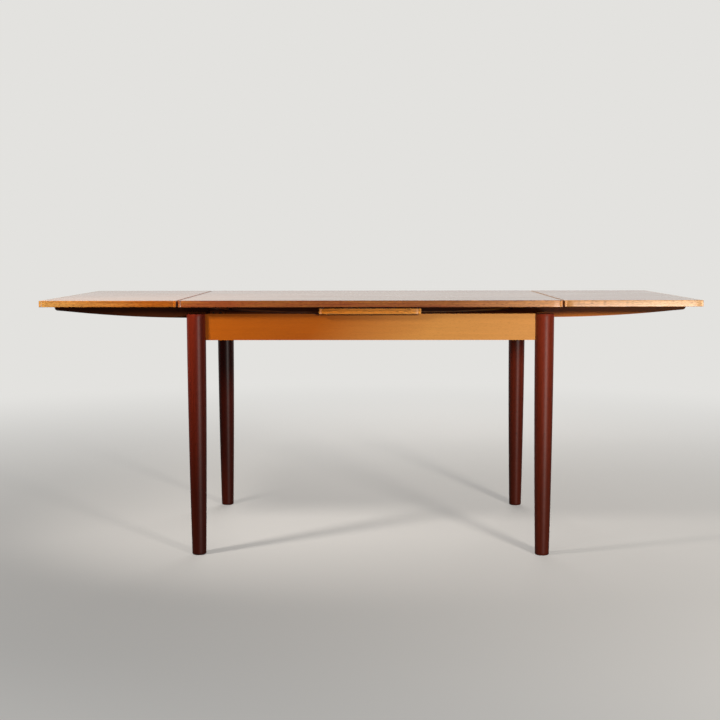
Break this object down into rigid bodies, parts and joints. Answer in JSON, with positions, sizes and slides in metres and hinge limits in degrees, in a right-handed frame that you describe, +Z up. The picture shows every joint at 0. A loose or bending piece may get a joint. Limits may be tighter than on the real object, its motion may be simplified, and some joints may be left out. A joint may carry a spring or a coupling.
{
  "type": "draw-leaf table",
  "caption": "Wooden dining table with round tapered legs, a lift-up main top on guide dowels and a pull-out leaf on curved runners at each end, shown extended.",
  "frame": {"origin": "on the floor under the middle of the table", "axes": "+X along the table's length towards its right end, +Y to its back, +Z up"},
  "size_m": [1.858, 0.76, 0.73],
  "materials": {
    "leg_wood": "satin, dark red-brown stain",
    "apron_wood": "satin, honey oak",
    "veneer": "satin teak veneer",
    "top_lipping": "satin solid teak",
    "leaf_lipping": "satin solid teak",
    "board_lipping": "satin solid teak",
    "runner_wood": "waxed, teak-coloured beech",
    "inner_wood": "bare beech",
    "felt": "felt",
    "zinc_steel": "zinc plated"
  },
  "bodies": {
    "frame": {"leg_front_left": "leg_wood", "leg_front_right": "leg_wood", "leg_back_left": "leg_wood", "leg_back_right": "leg_wood", "front_apron": "apron_wood", "back_apron": "apron_wood", "left_end_apron": "apron_wood", "right_end_apron": "apron_wood", "corner_block_front_left": "inner_wood", "corner_block_front_right": "inner_wood", "corner_block_back_left": "inner_wood", "corner_block_back_right": "inner_wood", "middle_rail": "inner_wood", "cleat_front_left": "inner_wood", "cleat_front_right": "inner_wood", "cleat_back_left": "inner_wood", "cleat_back_right": "inner_wood", "centre_board_panel": "veneer", "centre_board_front_lipping": "board_lipping", "centre_board_back_lipping": "board_lipping", "centre_board_left_lipping": "board_lipping", "centre_board_right_lipping": "board_lipping", "felt_strips": "felt", "hanger_bolts": "zinc_steel", "leg_washers": "zinc_steel", "leg_nuts": "zinc_steel", "corner_block_screws": "zinc_steel", "cleat_screws": "zinc_steel"},
    "main_top": {"top_panel": "veneer", "top_front_lipping": "top_lipping", "top_back_lipping": "top_lipping", "top_left_lipping": "top_lipping", "top_right_lipping": "top_lipping", "guide_dowels": "inner_wood", "dowel_stop_discs": "inner_wood", "dowel_screws": "zinc_steel"},
    "left_leaf": {"left_leaf_panel": "veneer", "left_leaf_front_lipping": "leaf_lipping", "left_leaf_back_lipping": "leaf_lipping", "left_leaf_outer_lipping": "leaf_lipping", "left_leaf_inner_lipping": "leaf_lipping", "left_leaf_front_runner": "runner_wood", "left_leaf_back_runner": "runner_wood", "left_leaf_runner_stops": "inner_wood", "left_leaf_runner_screws": "zinc_steel", "left_leaf_stop_screws": "zinc_steel"},
    "right_leaf": {"right_leaf_panel": "veneer", "right_leaf_front_lipping": "leaf_lipping", "right_leaf_back_lipping": "leaf_lipping", "right_leaf_outer_lipping": "leaf_lipping", "right_leaf_inner_lipping": "leaf_lipping", "right_leaf_front_runner": "runner_wood", "right_leaf_back_runner": "runner_wood", "right_leaf_runner_stops": "inner_wood", "right_leaf_runner_screws": "zinc_steel", "right_leaf_stop_screws": "zinc_steel"}
  },
  "joints": [
    {"name": "top_lift", "type": "slide", "parent": "frame", "child": "main_top", "axis": [0, 0, 1], "range_m": [0, 0.024]},
    {"name": "left_leaf_slide", "type": "slide", "parent": "frame", "child": "left_leaf", "axis": [-1, 0, 0], "range_m": [-0.0047, 0.02]},
    {"name": "right_leaf_slide", "type": "slide", "parent": "frame", "child": "right_leaf", "axis": [1, 0, 0], "range_m": [-0.0047, 0.02]}
  ]
}
